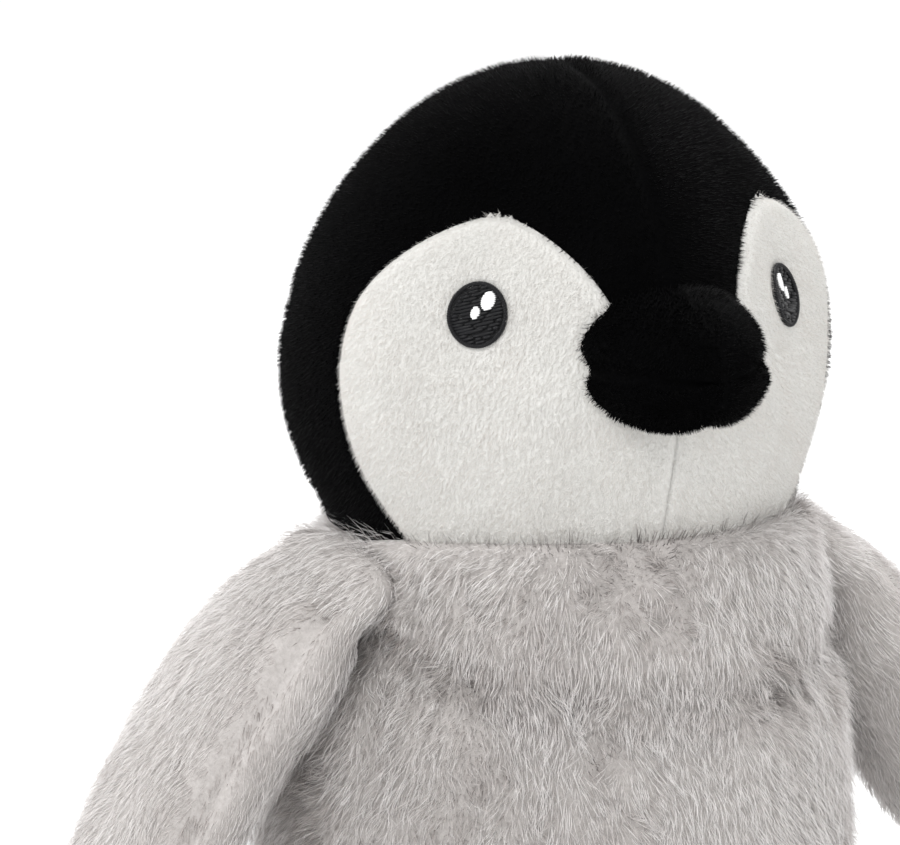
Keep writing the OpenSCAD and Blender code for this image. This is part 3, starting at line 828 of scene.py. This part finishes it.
def cheek_sheet(name, side):
    """A grid between the outline's front and back edges, 1.4 mm thick, thin at its edge."""
    rows, columns = 90, 64
    low, high = np.degrees(LIP_RISE) - 0.2, CHEEK_TOP - 0.02
    rise = np.repeat(low + (high - low) * (1 - np.linspace(1, 0, rows) ** 1.5), columns)
    front, back = cheek_edges(rise, side)
    share = np.tile(np.linspace(0, 1, columns), rows)
    turn = side * np.radians(front + (back - front) * share)
    rise = np.radians(rise)
    depth = into_white(turn, rise)
    tuck = 0.0013 * bell(depth / 0.0013)
    chin = 0.0008 * bell(turn * HEAD_ROUND / 0.0012) * (rise < np.radians(8))
    outer = head_point(turn, rise, -0.0006 + tuck + chin)
    bpy.ops.object.select_all(action="DESELECT")
    bpy.ops.mesh.primitive_grid_add(x_subdivisions=columns - 1, y_subdivisions=rows - 1, size=1)
    sheet = bpy.context.active_object
    sheet.name = sheet.data.name = name
    place_points(sheet, outer)
    wall = sheet.modifiers.new("cloth", "SOLIDIFY")
    wall.thickness = 0.0012
    wall.offset = -1 if side < 0 else 1
    bpy.ops.object.modifier_apply(modifier=wall.name)
    bpy.ops.object.mode_set(mode="EDIT")
    bpy.ops.mesh.select_all(action="SELECT")
    bpy.ops.mesh.remove_doubles(threshold=0.00002)
    bpy.ops.mesh.normals_make_consistent(inside=False)
    bpy.ops.object.mode_set(mode="OBJECT")
    bpy.ops.object.shade_smooth()
    return sheet


for side, hand in ((1, "right"), (-1, "left")):
    cheek = cheek_sheet(f"cheek_skin_{hand}", side)
    dressed(cheek, white_backing, "white_plush", f"cheek_panel_{hand}")
    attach(cheek, "head")
    root, normal = planted(cheek, 4.4, 51 + side)
    draw = np.random.default_rng(53 + side)
    turn, rise = from_head_middle(root)
    way = (root - HEAD_MIDDLE) / np.linalg.norm(root - HEAD_MIDDLE, axis=1, keepdims=True)
    aside = (np.degrees(np.abs(turn)) - EYE_TURN) * np.pi / 180 * FACE_ROUND * np.cos(np.radians(EYE_RISE))
    above = (np.degrees(rise) - EYE_RISE) * np.pi / 180 * FACE_ROUND
    off_eye = np.hypot(aside / EYE_HALF_WIDE, above / EYE_HALF_HIGH) > 1
    kept = ((way * normal).sum(1) > 0.3) & (rise > LIP_RISE) & off_eye
    root, normal, turn, rise = root[kept], normal[kept], turn[kept], rise[kept]
    count = len(root)
    toward = np.stack([np.sign(root[:, 0]) * 0.45, 0.2 + 0 * turn, -1 + 0 * turn], 1)
    lay = turned(combed(toward, normal), normal, 0.10 * waves(root, 0.02, 55) + draw.normal(0, 0.2, count))
    edge = bell(into_white(turn, rise) / 0.0012)
    chin = bell(turn * HEAD_ROUND / 0.001) * (rise < 0.1)
    length = 0.0020 * (1 - 0.20 * edge) * (1 - 0.5 * chin) * draw.uniform(0.8, 1.2, count)
    lift = 0.80 + 0.05 * waves(root, 0.008, 56) + draw.normal(0, 0.05, count)
    # Painted shade: fibres along the chin seam are darker, for the shadow in its crease.
    shade = 0.6 + 0.10 * waves(root, 0.010, 57) + draw.normal(0, 0.08, count) - 0.4 * chin
    hair = fibres(f"cheek_pile_{hand}", root, normal, lay, length, lift,
                  draw.uniform(0.00009, 0.00014, count), shade, knots=2)
    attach(dressed(hair, white_pile, "white_plush"), "head")


# ---- Beak -----------------------------------------------------------------------------------
# A short blunt beak of the same black plush, an upper and a lower panel joined along the line
# of the mouth and stuffed, sewn over the white and up to the crown.

BEAK_HALF_WIDE, BEAK_HALF_HIGH, BEAK_LONG, BEAK_RISE = 0.0207, 0.0147, 0.024, 0.0030
BEAK_ROLL = np.radians(4.5)


def face_front(x, z):
    """How far in front of the head's middle its cloth is at x and z from that middle."""
    reach = np.full(len(x), 0.055)
    for _ in range(5):
        turn, rise = np.arctan2(-x, reach), np.arctan2(z, np.hypot(x, reach))
        radius = head_radius(turn, rise)
        reach = np.sqrt(np.maximum(radius ** 2 - x ** 2 - z ** 2, 1e-6))
    return reach


def beak_point(turn, share, inset=0.0):
    """Share 0 is on the face and 1 at the tip; turn 0 is the top, and the mouth is at 90."""
    round_off = closing(share, 2.2)
    mouth = bell((np.abs(np.degrees(turn)) - 90) / 9)
    chin = bell((np.abs(np.degrees(turn)) - 180) / 7)
    wide = (BEAK_HALF_WIDE - inset) * round_off * (1 - 0.08 * mouth)
    high = (BEAK_HALF_HIGH - inset) * round_off * (1 - 0.12 * chin)
    sine, cosine = np.sin(turn), np.cos(turn)
    x = -wide * np.sign(sine) * np.abs(sine) ** 0.86
    z = high * np.sign(cosine) * np.abs(cosine) ** 0.9
    x, z = x * np.cos(BEAK_ROLL) - z * np.sin(BEAK_ROLL), x * np.sin(BEAK_ROLL) + z * np.cos(BEAK_ROLL)
    z += BEAK_RISE - 0.002 * share
    tip = share * (BEAK_LONG - inset) - 0.0016 * mouth * eased((share - 0.2) / 0.2)
    return HEAD_MIDDLE + np.stack([x, -(face_front(x, z) - 0.002) - tip, z], -1)


def beak_law(turn, share):
    root = HEAD_MIDDLE + [0, -0.045, 0.002]
    back = np.clip(share / 0.06, 0, 1)[:, None]
    first = beak_point(turn, np.zeros_like(turn), CLOTH_INSET)
    return np.where(share[:, None] < 0.06, root * (1 - back) + first * back,
                    beak_point(turn, np.clip((share - 0.06) / 0.94, 0, 1) ** 0.9, CLOTH_INSET))


beak_skin = stuffed("beak_skin", beak_law, 96, 64)
dressed(beak_skin, black_backing, "black_plush", "beak_upper_panel", "beak_lower_panel", "beak_filling")
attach(beak_skin, "head")

root, normal = planted(beak_skin, 3.4, 61)
draw = np.random.default_rng(62)
away = root - HEAD_MIDDLE
kept = -away[:, 1] > face_front(away[:, 0], away[:, 2]) - 0.0015
root, normal, away = root[kept], normal[kept], away[kept]
count = len(root)
toward = np.stack([np.sign(root[:, 0]) * 0.5, -0.6 + 0 * root[:, 0],
                   np.sign(away[:, 2] - BEAK_RISE) * -0.35], 1)
lay = turned(combed(toward, normal), normal, 0.3 * waves(root, 0.01, 63) + draw.normal(0, 0.3, count))
off_mouth = away[:, 2] - np.tan(BEAK_ROLL) * away[:, 0] - BEAK_RISE * 0.6
mouth = bell(off_mouth / 0.0012) * (np.abs(away[:, 0]) > 0.002)
length = 0.0020 * (1 - 0.5 * mouth) * draw.uniform(0.8, 1.2, count)
# Painted shade: fibres along the mouth line are darker, for the shadow in its crease.
shade = 0.62 + 0.12 * waves(root, 0.008, 64) + draw.normal(0, 0.16, count) - 0.2 * mouth
hair = fibres("beak_pile", root, normal, lay, length, 0.95 + draw.normal(0, 0.12, count),
              draw.uniform(*SHORT_PILE_THIN, count), shade, knots=2)
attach(dressed(hair, black_pile, "black_plush"), "head")


# ---- Eyes -----------------------------------------------------------------------------------
# Embroidered in black thread: rows of fill stitches that rise to one side inside a satin
# border, with two white highlights sewn on top.

BORDER_STITCHES = 84


def eye_point(side, a, b, out):
    """A point on the eye: a metres outwards, b up, and out metres above the white cloth."""
    turn = np.radians(EYE_TURN) + a / (FACE_ROUND * np.cos(np.radians(EYE_RISE)))
    rise = np.radians(EYE_RISE) + b / FACE_ROUND
    place = head_point(turn, rise, -out)
    place[:, 0] *= side
    return place


def eye_stitches(name, side, ends, width, height, out, shade, arch=0.35):
    """Fine closed stitches between pairs of points on the eye."""
    starts, stops = ends[:, :2], ends[:, 2:]
    share = np.array([0, 0.14, 0.5, 0.86, 1])
    high = out + height * np.array([-0.6, 0.3, 0.3 + arch, 0.3, -0.6])
    spine = np.stack([eye_point(side, *(starts * (1 - s) + stops * s).T, high[k] + np.zeros(len(ends)))
                      for k, s in enumerate(share)], 1)
    lifted = eye_point(side, *((starts + stops) / 2).T, np.full(len(ends), out + 0.003))
    up = lifted - eye_point(side, *((starts + stops) / 2).T, np.full(len(ends), out))
    up /= np.linalg.norm(up, axis=1, keepdims=True)
    along = combed(spine[:, 4] - spine[:, 0], up)
    widths = width[:, None] * np.array([0.8, 1, 0.8])
    return threads(name, spine, np.cross(along, up), up, widths, height / width.mean(), shade,
                   sides=6, blunt=True)


black_thread = pile_finish("black_thread", (0.005, 0.005, 0.006), (0.013, 0.013, 0.015),
                           [(0.6, 0.6, 0.62), (1, 1, 1)], 0.38, 0.1)
white_thread = pile_finish("white_thread", (0.86, 0.86, 0.86), (0.95, 0.95, 0.95),
                           [(0.9, 0.9, 0.9), (1, 1, 1)], 0.35, 0.1)
for side, hand in ((1, "right"), (-1, "left")):
    draw = np.random.default_rng(71)

    def eye_law(turn, share, side=side):
        reach = np.sin(share * np.pi)
        a, b = EYE_HALF_WIDE * reach * np.sin(turn), EYE_HALF_HIGH * reach * np.cos(turn)
        out = np.where(share > 0.5, 0.0008 + 0.0003 * np.cos(reach * 1.2), -0.0006)
        return eye_point(side, a, b, out)

    eye = stuffed(f"eye_ground_{hand}", eye_law, 64, 24)
    dressed(eye, black_thread, "black_thread", f"eye_embroidery_{hand}")
    uv = eye.data.uv_layers.active or eye.data.uv_layers.new(name="OFBake")
    uv.name = "OFBake"
    uv.data.foreach_set("uv", np.full(len(eye.data.loops) * 2, 0.3))
    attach(eye, "head")
    rows = []
    for row in np.linspace(-0.92, 0.92, 17):
        half = EYE_HALF_WIDE * 0.93 * np.sqrt(max(0, 1 - row ** 2))
        cut = np.sort(draw.uniform(-half * 0.8, half * 0.8, 2)) if half > 0.003 else np.array([0.0])
        marks = np.concatenate([[-half], cut, [half]])
        for begin, end in zip(marks[:-1], marks[1:]):
            b = row * EYE_HALF_HIGH * 0.93
            rows.append([begin, b - begin * 0.28, end, b - end * 0.28])
    rows = np.array(rows)
    limit = np.hypot(rows[:, [0, 2]] / EYE_HALF_WIDE, rows[:, [1, 3]] / EYE_HALF_HIGH).max(1)
    scale = np.minimum(1, 0.95 / limit)[:, None]
    fill = eye_stitches(f"eye_fill_{hand}", side, rows * scale, draw.uniform(0.00036, 0.00044, len(rows)),
                        0.00030, 0.0012, draw.uniform(0.3, 0.9, len(rows)))
    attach(dressed(fill, black_thread, "black_thread"), "head")
    spots = np.linspace(0, 2 * np.pi, BORDER_STITCHES, endpoint=False)
    inner, outer = (np.stack([EYE_HALF_WIDE * reach * np.sin(spots + slant),
                              EYE_HALF_HIGH * reach * np.cos(spots + slant)], 1)
                    for reach, slant in ((0.86, 0), (1.02, 0.05)))
    border = eye_stitches(f"eye_border_{hand}", side, np.concatenate([inner, outer], 1),
                          np.full(BORDER_STITCHES, 0.00030), 0.00034, 0.0012,
                          draw.uniform(0.3, 0.8, BORDER_STITCHES), arch=0.7)
    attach(dressed(border, black_thread, "black_thread"), "head")
    shines = []
    for a, b, radius, many in ((-0.0022, 0.0030, 0.0020, 9), (0.0006, 0.0003, 0.0013, 6)):
        for mark in np.linspace(-0.85, 0.85, many):
            half, level = radius * np.sqrt(1 - mark ** 2), b + mark * radius
            shines.append([a - half, level + half * 0.25, a + half, level - half * 0.25])
    shines = np.array(shines)
    shine = eye_stitches(f"eye_highlights_{hand}_thread", side, shines, np.full(len(shines), 0.00030),
                         0.00030, 0.0016, draw.uniform(0.5, 1, len(shines)), arch=0.6)
    dressed(shine, white_thread, "white_thread", f"eye_highlights_{hand}")
    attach(shine, "head")


# ---- Wings ----------------------------------------------------------------------------------
# Long flat stuffed wings of the grey plush, an outer and an inner panel each, sewn into the
# side of the body at the shoulder.

WING_LONG, WING_WIDE, WING_THICK, ROOT_WIDE, ROOT_THICK = 0.128, 0.064, 0.025, 0.058, 0.015
WING_OUT, SHOULDER_HIGH, SHOULDER_OUT = np.radians(36), 0.189, 0.0605
WING_SUNK = 0.014
WING_SEAM_DEEP, WING_SEAM_BROAD = 0.0034, 0.0032
down_wing = np.array([-np.sin(WING_OUT), 0, -np.cos(WING_OUT)])
off_wing = np.array([-np.cos(WING_OUT), 0, np.sin(WING_OUT)])
SHOULDER = np.array([-SHOULDER_OUT, 0, SHOULDER_HIGH])


def wing_thick(s):
    u = s / WING_LONG
    grown = ROOT_THICK + (WING_THICK - ROOT_THICK) * eased(u / 0.2)
    return grown * (1 - np.maximum(0, (u - 0.45) / 0.56) ** 2.2)


def wing_wide(s):
    u = s / WING_LONG
    return (ROOT_WIDE + (WING_WIDE - ROOT_WIDE) * eased(u / 0.25)) * np.sqrt(
        np.maximum(0, 1 - np.maximum(0, (u - 0.35) / 0.651) ** 2.4))


def wing_offset(s):
    """How far the wing's middle lies outside the straight line down from the shoulder: it
    starts in the body, and droops in against it further down."""
    u = s / WING_LONG
    return -0.0040 - 0.0020 * (1 - eased(u / 0.07)) - 0.0045 * eased((u - 0.3) / 0.5)


def wing_law(turn, share, inset=CLOTH_INSET):
    s = -WING_SUNK + (WING_LONG - inset + WING_SUNK) * (1 - (1 - share) ** 1.25)
    s0 = np.maximum(s, 0)
    near = eased(share / 0.05)
    half_wide = np.maximum(wing_wide(s0) / 2 - inset, 0.0002) * near
    half_thick = np.maximum(wing_thick(s0) / 2 - inset * 0.8, 0.0002) * near
    half_wide *= np.where(share > 0.999, 0, 1)
    half_thick *= np.where(share > 0.999, 0, 1)
    y = -half_wide * np.cos(turn) - 0.004 * (1 - eased(s / 0.05))
    n = half_thick * np.abs(np.sin(turn)) ** 0.85 * np.sign(np.sin(turn))
    n = n + wing_offset(s)
    return SHOULDER + s[:, None] * down_wing + n[:, None] * off_wing + y[:, None] * [0, 1, 0]


def wing_seam(place):
    """Distances from places on the right wing to its seam, aside and outwards. The seam lies a
    little outside the wing's edge, so that the inner panel shows as a strip along the front."""
    local = place - SHOULDER
    s = local @ down_wing
    along = np.clip(s, 0, WING_LONG * 0.97)
    aside = np.abs(local[:, 1]) - 0.87 * wing_wide(along) / 2
    out = local @ off_wing - wing_offset(s) - 0.55 * wing_thick(along) / 2
    return aside + (s < 0.006), out


for side, hand in ((1, "right"), (-1, "left")):
    wing = stuffed(f"wing_skin_{hand}", wing_law, 64, 64)
    plumped(wing, 0.004, 0.002)
    co = points(wing)
    out = np.empty(len(co) * 3)
    wing.data.vertices.foreach_get("normal", out)
    co -= out.reshape(-1, 3) * (
        WING_SEAM_DEEP * bell(np.hypot(*wing_seam(co)) / WING_SEAM_BROAD))[:, None]
    place_points(wing, co)
    if side < 0:
        mirrored(wing)
    dressed(wing, grey_backing, "grey_plush", f"wing_outer_panel_{hand}", f"wing_inner_panel_{hand}",
            f"wing_filling_{hand}")
    root, normal = planted(wing, 1.1, 81 + side)
    draw = np.random.default_rng(84 + side)
    mirror = np.array([side, 1, 1])
    local = root * mirror - SHOULDER
    s = local @ down_wing
    kept = (root[:, 0] / body_half(root[:, 2])) ** 2 + (root[:, 1] / body_deep(root[:, 2])) ** 2 > 0.97
    kept &= np.hypot(*wing_seam(root * mirror)) > 0.0013
    kept &= draw.random(len(root)) < np.where(local @ off_wing > wing_offset(s), 1, 0.7)
    root, normal, local, s = root[kept], normal[kept], local[kept], s[kept]
    count = len(root)
    n = local @ off_wing - wing_offset(s)
    aside, out = wing_seam(root * mirror)
    rim = bell(np.hypot(aside, out) / 0.0021)
    near = bell(np.hypot(aside, out) / 0.007)
    outer = eased(out / 0.002 + 0.5)
    toward = down_wing - (0.5 * near * (1 - 2 * outer))[:, None] * off_wing + (
        (0.25 * (1 - near) - 0.5 * near * outer) * np.sign(local[:, 1]))[:, None] * np.array([0, 1, 0])
    lay = turned(combed(toward * mirror, normal), normal,
                 0.16 * waves(root, 0.030, 86) + draw.normal(0, 0.12, count))
    length = 0.0056 * (1 - 0.35 * near - 0.35 * rim) * draw.uniform(0.75, 1.2, count)
    lift = 0.32 - 0.14 * near + 0.08 * waves(root, 0.02, 87) + draw.normal(0, 0.06, count)
    sway = swaying(root, 0.005, 88) * 0.10
    # Painted shadow of the seam's crease: fibres darken beside the seam (near), and most at the seam
    # itself (rim).
    shade = (0.88 + 0.06 * waves(root, 0.03, 91) + 0.05 * waves(root, 0.0035, 92)
             - 0.50 * near - 0.95 * rim + draw.normal(0, 0.07, count))
    width = draw.uniform(*LONG_PILE_THIN, count)
    start, end = (SHOULDER - 0.004 * down_wing) * mirror, (SHOULDER + 0.016 * down_wing) * mirror
    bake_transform(wing)
    for k, mine in enumerate([n > 0, n <= 0]):
        hair = fibres(f"wing_pile_{hand}_{('outer', 'inner')[k]}", root[mine], normal[mine], lay[mine],
                      length[mine], lift[mine], width[mine], shade[mine], sway=sway[mine])
        dressed(hair, grey_pile, "grey_plush")
        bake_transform(hair)


# ---- Feet -----------------------------------------------------------------------------------
# Two flat-soled black plush feet with three toes marked by dips in the front edge, stuffed and
# sewn to the front of the body at the floor.

FOOT_LONG, FOOT_HALF_WIDE, FOOT_HIGH, FOOT_SIDE = 0.036, 0.020, 0.019, 0.025
FOOT_INSET = 0.0012


def foot_law(turn, share):
    along = np.clip((share - 0.06) / 0.94, 0, 1) ** 0.85
    reach = np.where(share < 0.06, share / 0.06, 1)
    r = closing(along, 3.0) * reach
    x = (FOOT_HALF_WIDE - FOOT_INSET) * r * np.sin(turn)
    high = (FOOT_HIGH * (1 - 0.2 * along) - FOOT_INSET) * r
    z = 0.0008 + high * np.maximum(0, np.cos(turn)) ** 0.85
    half = body_half(z)
    back = body_deep(z) * np.sqrt(np.maximum(0, 1 - ((x - FOOT_SIDE) / half) ** 2)) - 0.005
    dips = np.sin(np.radians(270 * x / (2 * FOOT_HALF_WIDE))) ** 2
    front = body_deep(np.zeros(1)) + (FOOT_LONG - FOOT_INSET) * (1 - 0.12 * dips)
    z = z * (1 - 0.16 * eased((along - 0.45) / 0.4) * dips)
    y = back + (front - back) * along
    return np.stack([x - FOOT_SIDE, -y, z], -1)


for side, hand in ((1, "right"), (-1, "left")):
    foot = stuffed(f"foot_skin_{hand}", foot_law, 72, 48)
    if side < 0:
        mirrored(foot)
    dressed(foot, black_backing, "black_plush", f"foot_upper_panel_{hand}", f"foot_sole_panel_{hand}",
            f"foot_filling_{hand}")
    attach(foot, "torso")
    root, normal = planted(foot, 3.2, 101)
    draw = np.random.default_rng(102)
    kept = (root[:, 2] > 0.0016) & (root[:, 1] < -body_deep(root[:, 2]) * np.sqrt(
        np.maximum(0, 1 - (root[:, 0] / body_half(root[:, 2])) ** 2)) + 0.002)
    root, normal = root[kept], normal[kept]
    count = len(root)
    lay = turned(combed(np.array([0.0, -1.0, -0.2]), normal), normal, draw.normal(0, 0.3, count))
    hair = fibres(f"foot_pile_{hand}", root, normal, lay, 0.0022 * draw.uniform(0.8, 1.2, count),
                  0.8 + draw.normal(0, 0.1, count), draw.uniform(*SHORT_PILE_THIN, count),
                  0.55 + draw.normal(0, 0.16, count), knots=2)
    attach(dressed(hair, black_pile, "black_plush"), "torso")


# ---- Tail -----------------------------------------------------------------------------------
# A short grey tab, an upper and a lower panel, lightly stuffed and sewn low on the back.

TAIL_LONG, TAIL_HALF_WIDE, TAIL_HALF_THICK, TAIL_HIGH = 0.024, 0.017, 0.0075, 0.022


def tail_law(turn, share):
    along = np.clip((share - 0.06) / 0.94, 0, 1) ** 0.9
    reach = np.where(share < 0.06, share / 0.06, 1)
    r = np.maximum(0, 1 - along ** 2) ** (1 / 1.6) * reach
    x = (TAIL_HALF_WIDE - 0.0015) * r * np.sin(turn)
    z = TAIL_HIGH + (TAIL_HALF_THICK - 0.0015) * r ** 0.7 * np.cos(turn) - 0.005 * along
    front = body_deep(z) * np.sqrt(np.maximum(0, 1 - (x / body_half(z)) ** 2)) - 0.005
    return np.stack([x, front + along * (TAIL_LONG + 0.004), z], -1)


tail_skin = stuffed("tail_skin", tail_law, 56, 36)
dressed(tail_skin, grey_backing, "grey_plush", "tail_upper_panel", "tail_lower_panel", "tail_filling")
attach(tail_skin, "torso")
root, normal = planted(tail_skin, 1.9, 111)
draw = np.random.default_rng(112)
kept = root[:, 1] > 0.048
root, normal = root[kept], normal[kept]
count = len(root)
lay = turned(combed(np.array([0.0, 1.0, -0.5]), normal), normal, draw.normal(0, 0.25, count))
sway = swaying(root, 0.006, 113) * 0.2
hair = fibres("tail_pile", root, normal, lay, 0.0055 * draw.uniform(0.7, 1.2, count),
              0.45 + draw.normal(0, 0.1, count), draw.uniform(0.00015, 0.00024, count),
              0.78 + draw.normal(0, 0.1, count), sway=sway)
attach(dressed(hair, grey_pile, "grey_plush"), "torso")
